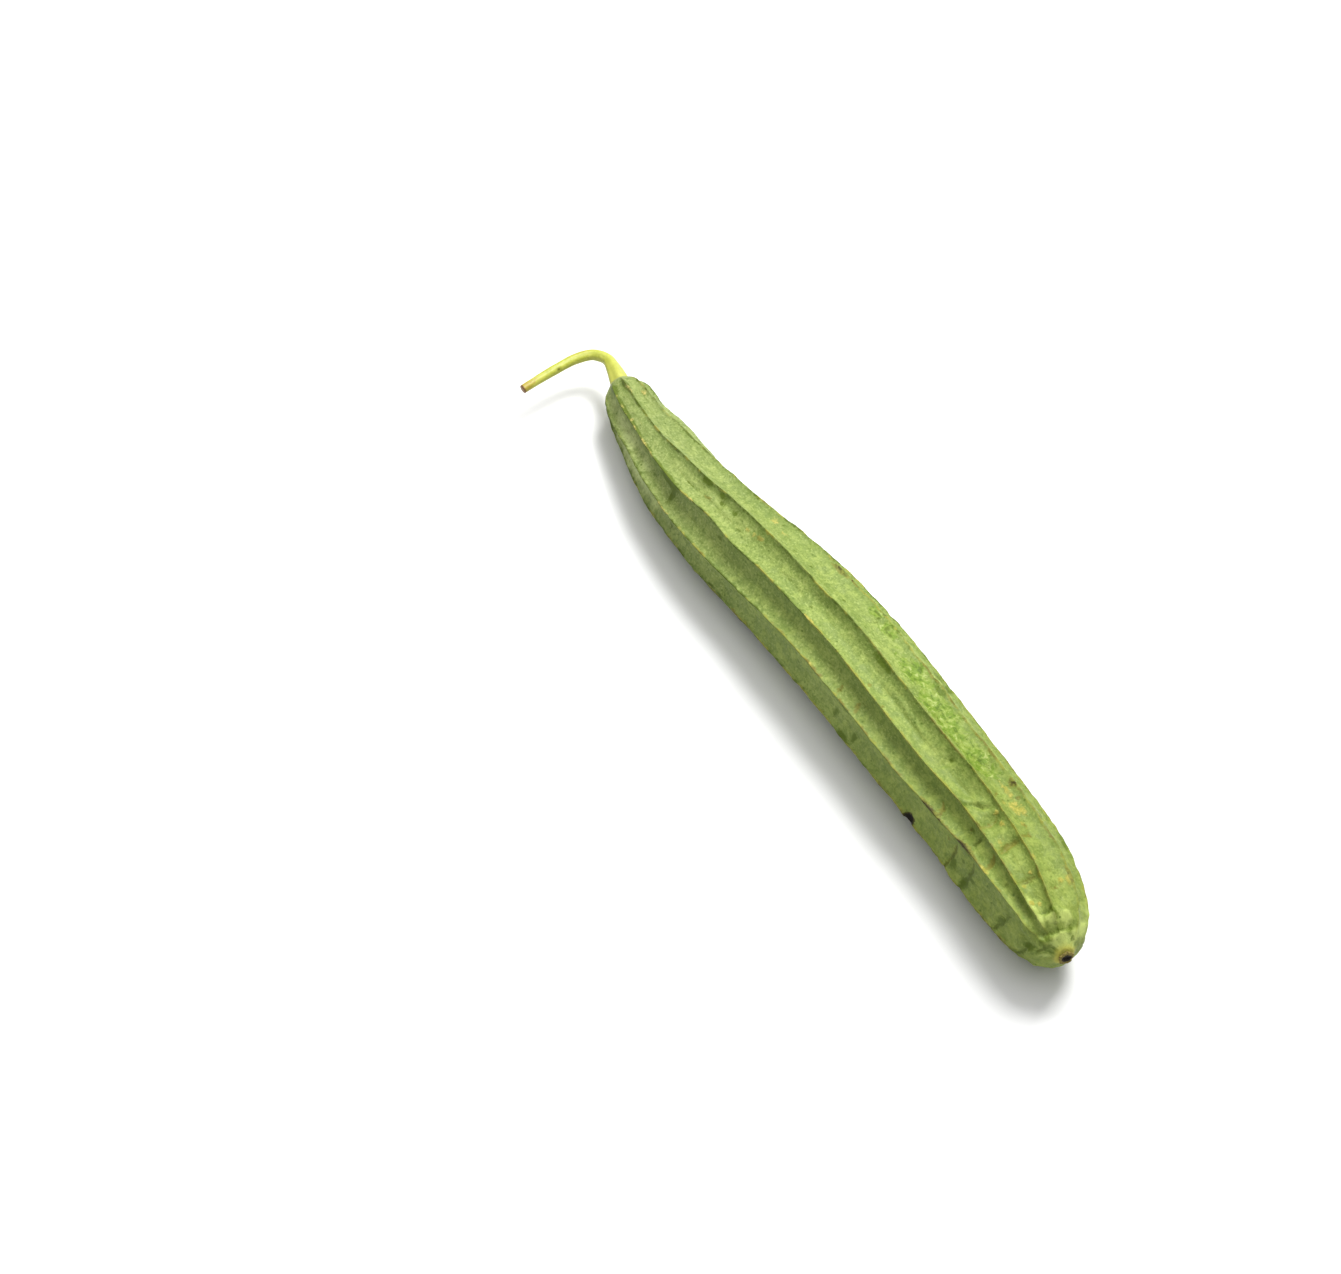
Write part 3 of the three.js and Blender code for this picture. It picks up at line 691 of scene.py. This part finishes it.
def make_scar(shift):
    end, forward = spine_end(len(SPINE) - 1, len(SPINE) - 1.01)
    side = np.cross([0, 0, 1], forward)
    side /= np.linalg.norm(side)
    outwards = forward * math.cos(END_LEAN) + np.cross(forward, side) * math.sin(END_LEAN)
    up = np.cross(outwards, side)
    height, radius = curve_at(SCAR_PROFILE, np.linspace(0, len(SCAR_PROFILE) - 1, SCAR_RINGS)).T[..., None]
    turn = np.linspace(0, 2 * math.pi, SCAR_SIDES, endpoint=False)
    # The hollow is longer than it is wide, and the rim is ragged.
    inner = smoothstep(np.linspace(0, 1, SCAR_RINGS), 0.45, 0.75)[:, None]
    squeeze = 1 - SCAR_HOLLOW_SQUEEZE * inner * np.abs(np.sin(turn - SCAR_HOLLOW_LEAN))
    ragged = 1 + 0.06 * np.sin(5 * turn + 1) + 0.05 * np.sin(11 * turn)
    radii = SCAR_RADIUS * radius * ragged * squeeze
    heights = SCAR_HEIGHT * height * (1 + 0.08 * np.sin(3 * turn))
    outline = np.sin(turn)[:, None] * side + np.cos(turn)[:, None] * up
    places = end + outwards * GAP + shift + heights[..., None] * outwards + radii[..., None] * outline
    return closed_grid("dried_scar", places, {"hollow": np.broadcast_to(inner, radii.shape)})


# ---- Materials ----------------------------------------------------------------------------------------


def colour(red, green, blue):
    """A display colour, 0 to 255, as the linear colour that a shader takes."""
    share = np.array([red, green, blue]) / 255
    linear = np.where(share <= 0.04045, share / 12.92, ((share + 0.055) / 1.055) ** 2.4)
    return (*linear, 1)


class Shader:
    """A node material being built. Its methods add a node or a few and return the output to link on."""

    def __init__(self, name):
        self.material = bpy.data.materials.new(name)
        self.material.use_nodes = True
        self.tree = self.material.node_tree
        self.surface = self.tree.nodes["Principled BSDF"]
        self.place = self.tree.nodes.new("ShaderNodeTexCoord").outputs["Object"]

    def put(self, value, socket):
        if isinstance(value, bpy.types.NodeSocket):
            self.tree.links.new(value, socket)
        else:
            socket.default_value = value

    def fact(self, name):
        node = self.tree.nodes.new("ShaderNodeAttribute")
        node.attribute_name = name
        return node.outputs["Fac"]

    def stretched(self, x, y, z):
        node = self.tree.nodes.new("ShaderNodeMapping")
        node.inputs["Scale"].default_value = (x, y, z)
        self.put(self.place, node.inputs["Vector"])
        return node.outputs["Vector"]

    def noise(self, cell, detail=2, roughness=0.5, place=None, warp=0):
        node = self.tree.nodes.new("ShaderNodeTexNoise")
        node.inputs["Scale"].default_value = 1 / cell
        node.inputs["Detail"].default_value = detail
        node.inputs["Roughness"].default_value = roughness
        node.inputs["Distortion"].default_value = warp
        self.put(place or self.place, node.inputs["Vector"])
        return node.outputs["Fac"]

    def dots(self, cell):
        node = self.tree.nodes.new("ShaderNodeTexVoronoi")
        node.inputs["Scale"].default_value = 1 / cell
        self.put(self.place, node.inputs["Vector"])
        return node.outputs["Distance"]

    def math(self, kind, a, b=0.5, clamp=False):
        node = self.tree.nodes.new("ShaderNodeMath")
        node.operation = kind
        node.use_clamp = clamp
        self.put(a, node.inputs[0])
        self.put(b, node.inputs[1])
        return node.outputs[0]

    def ramp(self, value, low, high, to_low=0, to_high=1):
        node = self.tree.nodes.new("ShaderNodeMapRange")
        node.interpolation_type = "SMOOTHSTEP"
        for socket, number in zip(("From Min", "From Max", "To Min", "To Max"), (low, high, to_low, to_high)):
            node.inputs[socket].default_value = number
        self.put(value, node.inputs["Value"])
        return node.outputs["Result"]

    def frayed(self, value, uneven, amount):
        """A value with a noise, centred on 0, added to it."""
        return self.math("ADD", value, self.math("MULTIPLY", self.math("SUBTRACT", uneven, 0.5), amount))

    def ragged(self, fact, uneven, low, high, amount):
        """Where a mark is, with its edge frayed by a noise."""
        return self.ramp(self.frayed(fact, uneven, amount), low, high)

    def mix(self, share, a, b, kind="MIX"):
        node = self.tree.nodes.new("ShaderNodeMix")
        node.data_type = "RGBA"
        node.blend_type = kind
        self.put(share, node.inputs["Factor"])
        self.put(a, node.inputs[6])  # A and B for colours
        self.put(b, node.inputs[7])
        return node.outputs[2]

    def layer(self, under, mask, share, over):
        """A colour over another, as strongly as mask times share says."""
        return self.mix(self.math("MULTIPLY", mask, share, clamp=True), under, over)

    def bump(self, height, distance, under=None):
        node = self.tree.nodes.new("ShaderNodeBump")
        node.inputs["Distance"].default_value = distance
        self.put(height, node.inputs["Height"])
        if under is not None:
            self.put(under, node.inputs["Normal"])
        return node.outputs["Normal"]


class SkinShader(Shader):
    """The gourd's skin. green is its colour so far, and the functions below lay more over it."""

    def __init__(self):
        super().__init__("gourd_skin")
        self.mottle = self.noise(4.5 * MM, 4, 0.6)
        self.cloud = self.noise(2.4 * MM, 3, 0.6, warp=0.4)
        self.grain = self.noise(1.0 * MM, 3, 0.6)
        self.streak = self.noise(1.6 * MM, 3, 0.55, place=self.stretched(0.12, 1, 1))
        self.patch = self.noise(9 * MM, 3, 0.6, place=self.stretched(0.4, 1, 1), warp=0.5)
        self.scabby = self.noise(1.5 * MM, 4, 0.65, warp=0.8)
        self.torn = self.noise(4.6 * MM, 3, 0.6, warp=1.0)
        self.flake = self.noise(3.0 * MM, 4, 0.72, warp=0.45)
        self.rubbed = self.ragged(self.fact("rub"), self.torn, 0.35, 0.75, 1.8)
        self.crust = self.ragged(self.fact("crust"), self.scabby, 0.32, 0.95, 1.8)
        self.crest_side = self.fact("crest_side")
        self.along = self.fact("along")

    def lay(self, mask, share, over):
        """As layer does, over the green."""
        self.green = self.layer(self.green, mask, share, over)


def lay_green(s):
    """Fresh green, mottled, with darker clouds and faint streaks."""
    broad = s.noise(26 * MM, 3, place=s.stretched(0.5, 1, 1))
    s.green = s.mix(s.ramp(broad, 0.35, 0.68), colour(109, 126, 66), colour(122, 137, 72))
    s.lay(s.ramp(s.mottle, 0.42, 0.64), 0.85, colour(132, 147, 80))
    s.lay(s.ramp(s.patch, 0.54, 0.66), 0.35, colour(92, 112, 50))
    s.lay(s.ramp(s.cloud, 0.50, 0.36), 0.58, colour(95, 114, 52))
    s.lay(s.ramp(s.cloud, 0.56, 0.68), 0.40, colour(143, 157, 88))
    s.lay(s.ramp(s.streak, 0.5, 0.72), 0.45, colour(98, 117, 52))
    # Painted light for the most part: these pale patches lift the colour where more light would fall.
    s.lay(s.ragged(s.fact("pale"), s.mottle, 0.2, 1.0, 1.6), 0.85, colour(176, 190, 122))


def lay_veins_and_specks(s):
    for cell, width, share in ((7, 0.026, 0.26), (3.2, 0.030, 0.14)):
        net = s.noise(cell * MM, 2, 0.5, place=s.stretched(0.6, 1, 1), warp=0.8)
        vein = s.math("ABSOLUTE", s.math("SUBTRACT", net, 0.5))
        s.lay(s.ramp(vein, width, 0), share, colour(150, 162, 96))
    finer = s.ramp(s.along, 190, 270, 0.52, 0.34)
    s.lay(s.ramp(s.grain, 0.56, 0.66), finer, colour(156, 169, 104))
    s.lay(s.ramp(s.grain, 0.44, 0.34), finer, colour(80, 98, 40))
    specks = s.ramp(s.dots(3.4 * MM), 0.20, 0.06)
    s.lay(specks, s.ramp(s.patch, 0.42, 0.6), colour(80, 100, 38))


def paint_shade_beside_crests(s):
    """Painted shade: a darker green, in patches, on the side of each crest whose wall faces away from the key
    light.
    """
    painted_shade_side = s.ramp(s.math("ABSOLUTE", s.math("ADD", s.crest_side, 1.3)), 1.9, 0.3)
    painted_shade_strength = s.ramp(s.mottle, 0.36, 0.6, 0.0, 0.38)
    painted_shade_strength = s.math("MULTIPLY", painted_shade_strength, s.ramp(s.along, 190, 260, 1, 0.5))
    painted_shade_strength = s.math("MULTIPLY", painted_shade_strength, s.ramp(s.along, 20, 90, 0.5, 1))
    s.lay(painted_shade_side, painted_shade_strength, colour(76, 100, 34))


def lay_rubbed_places(s):
    """Rubbed places are a fresher green, blotched, with pale torn flakes."""
    fresh = s.mix(s.ramp(s.torn, 0.42, 0.60), colour(118, 136, 60), colour(96, 122, 36))
    fresh = s.layer(fresh, s.ramp(s.flake, 0.52, 0.61), 0.85, colour(138, 154, 84))
    fresh = s.layer(fresh, s.ramp(s.flake, 0.60, 0.66), 0.8, colour(156, 168, 112))
    fresh = s.layer(fresh, s.ramp(s.flake, 0.47, 0.40), 0.85, colour(70, 94, 20))
    s.lay(s.rubbed, 0.9, fresh)


def draw_crest_lines(s):
    """A thin broken line runs along each crest: dark olive, ochre or brown by turns."""
    gap = s.frayed(s.math("ABSOLUTE", s.crest_side), s.noise(2.2 * MM, 2), 1.5)
    kind = s.math("ADD", s.noise(10 * MM, 3, 0.6), s.ramp(s.along, 60, 280, -0.12, 0.08))
    tone = s.mix(s.ramp(kind, 0.42, 0.50), colour(72, 88, 24), colour(132, 132, 56))
    tone = s.layer(tone, s.ramp(kind, 0.56, 0.64), 1.0, colour(104, 94, 38))
    broken = s.ramp(s.noise(6 * MM, 3, 0.6), 0.36, 0.56, 0.15, 1)
    broken = s.math("MULTIPLY", broken, s.ramp(s.along, 314, 332, 1, 0.3))
    broken = s.math("MULTIPLY", broken, s.ramp(s.along, 150, 260, 0.9, 0.7))
    s.lay(s.ramp(gap, 0.75, 0.20), broken, tone)


def lay_marks(s):
    """Brown and painted-shade green in the creases, dark green blotches (those along the fold at the blossom
    end are painted shade), scabs, sores and rot.
    """
    fleck = s.noise(2.4 * MM, 4, 0.68, warp=1.0)
    for fact, low, high, amount, share, stain_and_shade in (
        ("crease_brown", 0.30, 0.9, 2.0, 0.80, colour(112, 110, 48)),
        # Painted shade: a dark green laid along the crease grooves.
        ("crease_shade", 0.35, 1.0, 2.0, 0.75, colour(70, 86, 20)),
        ("bruise_and_fold_shade", 0.30, 0.95, 2.2, 0.85, colour(76, 94, 22)),
    ):
        s.lay(s.ragged(s.fact(fact), fleck, low, high, amount), share, stain_and_shade)
    crusted = s.mix(s.ramp(s.scabby, 0.42, 0.64), colour(142, 138, 62), colour(168, 160, 88))
    s.lay(s.crust, 0.9, crusted)
    sore = s.mix(s.ramp(s.scabby, 0.42, 0.6), colour(86, 86, 30), colour(118, 120, 54))
    s.lay(s.ragged(s.fact("sore"), s.scabby, 0.40, 0.75, 1.8), 0.85, sore)
    rot = s.frayed(s.fact("rot"), s.noise(1.1 * MM, 3), 0.8)
    s.lay(s.ramp(rot, 0.30, 0.60), 1.0, colour(62, 58, 20))
    s.lay(s.ramp(rot, 0.60, 0.90), 1.0, colour(18, 13, 8))


def colour_ends(s):
    """The rim round the stalk is pale, and the nub at the blossom end is ochre."""
    s.lay(s.ramp(s.along, 4.0, 0.5), 0.6, colour(150, 158, 92))
    nub = s.frayed(s.along, s.cloud, 1.6)
    s.lay(s.ramp(nub, 338.2, 340.2), 0.9, colour(166, 162, 80))


def tint_and_paint_tip_light(s):
    """The green grows yellower from the neck to the blossom end, and is made lighter at its tip, which is
    painted light.
    """
    for start, end, before, after in (
        (20, 180, (1.07, 1.03, 1.14, 1), (1.08, 1.08, 0.92, 1)),
        (200, 300, (1, 1, 1, 1), (0.92, 0.92, 0.77, 1)),
        # Painted light: the tip's colour is lifted as if more light fell on it.
        (333, 338, (1, 1, 1, 1), (1.16, 1.16, 1.20, 1)),
    ):
        tint_and_tip_light = s.mix(s.ramp(s.along, start, end), before, after)
        s.green = s.mix(1, s.green, tint_and_tip_light, "MULTIPLY")


def finish_surface(s):
    s.put(s.green, s.surface.inputs["Base Color"])
    s.put(s.ramp(s.mottle, 0.3, 0.7, 0.50, 0.68), s.surface.inputs["Roughness"])
    s.surface.inputs["Specular IOR Level"].default_value = 0.17
    streaked = s.math("ADD", s.grain, s.math("MULTIPLY", s.streak, 0.4))
    relief = s.bump(streaked, 0.14 * MM)
    relief = s.bump(s.cloud, 0.22 * MM, relief)
    relief = s.bump(s.math("MULTIPLY", s.crust, s.scabby), 0.14 * MM, relief)
    relief = s.bump(s.math("MULTIPLY", s.rubbed, s.flake), 0.40 * MM, relief)
    s.put(s.bump(s.mottle, 0.35 * MM, relief), s.surface.inputs["Normal"])


def skin_material():
    s = SkinShader()
    lay_green(s)
    lay_veins_and_specks(s)
    paint_shade_beside_crests(s)
    lay_rubbed_places(s)
    draw_crest_lines(s)
    lay_marks(s)
    colour_ends(s)
    tint_and_paint_tip_light(s)
    finish_surface(s)
    return s.material


def stem_material():
    s = Shader("stalk_skin")
    to_cut = s.fact("to_cut")
    fibre = s.noise(1.0 * MM, 3, 0.6)
    blotch = s.noise(5 * MM, 2)
    tone = s.mix(s.ramp(blotch, 0.35, 0.65), colour(165, 171, 60), colour(178, 182, 76))
    tone = s.layer(tone, s.ramp(fibre, 0.5, 0.68), 0.5, colour(184, 182, 92))
    tone = s.layer(tone, s.ramp(fibre, 0.44, 0.32), 0.5, colour(142, 146, 44))
    tone = s.mix(s.ramp(s.fact("edge"), -0.4, -1.0, 0, 0.35), tone, colour(142, 148, 46))
    tone = s.mix(s.ramp(to_cut, 40, 58, 0, 0.5), tone, colour(172, 172, 84))
    tone = s.mix(s.ramp(to_cut, 6, 1, 0, 0.55), tone, colour(156, 128, 46))
    scuff = s.math("MULTIPLY", s.fact("scuff"), s.ramp(fibre, 0.35, 0.6))
    tone = s.layer(tone, scuff, 0.8, colour(150, 112, 46))
    nick = s.math("MULTIPLY", s.fact("nick"), s.ramp(fibre, 0.3, 0.5))
    tone = s.layer(tone, nick, 0.8, colour(74, 66, 28))
    # The cut end: a brown rim, and a paler face inside it.
    frayed_cut = s.math("ADD", to_cut, s.math("MULTIPLY", fibre, 0.9))
    tone = s.mix(s.ramp(frayed_cut, 1.3, 0.5), tone, colour(122, 86, 36))
    tone = s.mix(s.ramp(frayed_cut, 0.45, 0.25), tone, colour(150, 122, 54))
    s.put(tone, s.surface.inputs["Base Color"])
    s.surface.inputs["Roughness"].default_value = 0.45
    s.surface.inputs["Specular IOR Level"].default_value = 0.4
    s.put(s.bump(fibre, 0.12 * MM), s.surface.inputs["Normal"])
    return s.material


def scar_material():
    s = Shader("dried_flower_scar")
    crumb = s.noise(0.5 * MM, 4, 0.65)
    rim = s.mix(s.ramp(crumb, 0.4, 0.65), colour(104, 92, 38), colour(142, 130, 60))
    black = s.mix(s.ramp(crumb, 0.4, 0.7), colour(18, 13, 8), colour(46, 34, 18))
    hollow = s.ragged(s.fact("hollow"), crumb, 0.25, 0.6, 0.6)
    s.put(s.mix(hollow, rim, black), s.surface.inputs["Base Color"])
    s.surface.inputs["Roughness"].default_value = 0.9
    s.put(s.bump(crumb, 0.3 * MM), s.surface.inputs["Normal"])
    return s.material


# ---- Room ---------------------------------------------------------------------------------------------


def face_away(thing, back):
    """Turn a light or a camera so that back is the direction behind it."""
    thing.rotation_mode = "QUATERNION"
    thing.rotation_quaternion = back.to_track_quat("Z", "Y")


def add_floor():
    half = FLOOR_HALF_WIDTH
    mesh = bpy.data.meshes.new("floor")
    corners = [(x, y, -FLOOR_DROP) for x, y in ((-half, -half), (half, -half), (half, half), (-half, half))]
    mesh.from_pydata(corners, [], [(0, 1, 2, 3)])
    floor = add_object("floor", mesh)
    paper = bpy.data.materials.new("pale_floor")
    paper.use_nodes = True
    surface = paper.node_tree.nodes["Principled BSDF"]
    surface.inputs["Base Color"].default_value = (FLOOR_GREY, FLOOR_GREY, FLOOR_GREY, 1)
    surface.inputs["Roughness"].default_value = 0.9
    surface.inputs["Specular IOR Level"].default_value = 0.1
    mesh.materials.append(paper)


def add_lights():
    for name, direction, distance, size, power in LIGHTS:
        light = bpy.data.lights.new(name, "AREA")
        light.size = size
        light.energy = power
        thing = add_object(name, light)
        towards = Vector(direction).normalized()
        thing.location = towards * distance
        face_away(thing, towards)
    world = bpy.data.worlds.new("soft_room")
    world.use_nodes = True
    background = world.node_tree.nodes["Background"]
    background.inputs["Color"].default_value = (1, 1, 1, 1)
    background.inputs["Strength"].default_value = ROOM_GLOW
    bpy.context.scene.world = world


def add_camera():
    low, high = (np.array(corner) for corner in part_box("fruit"))
    aim = Vector((*((low + high)[:2] / 2 + CAMERA_AIM_FROM_FRUIT), 0))
    back = Vector((
        math.sin(CAMERA_AZIMUTH) * math.cos(CAMERA_ELEVATION),
        -math.cos(CAMERA_AZIMUTH) * math.cos(CAMERA_ELEVATION),
        math.sin(CAMERA_ELEVATION),
    ))
    lens = bpy.data.cameras.new("camera")
    lens.lens = CAMERA_LENS
    camera = add_object("camera", lens)
    camera.location = aim + back * CAMERA_DISTANCE
    face_away(camera, back)
    bpy.context.scene.camera = camera


# ---- Assembly -----------------------------------------------------------------------------------------

add_camera()
add_lights()
add_floor()

skin, shift = make_skin()
for piece, node, material, slot in (
    (skin, "fruit", skin_material(), "skin"),
    (make_stem(shift), "stem", stem_material(), "stem"),
    (make_scar(shift), "blossom_scar", scar_material(), "dried_scar"),
):
    piece.data.materials.append(material)
    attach(piece, "root")
    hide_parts(node)

bpy.context.scene.view_settings.view_transform = "Standard"
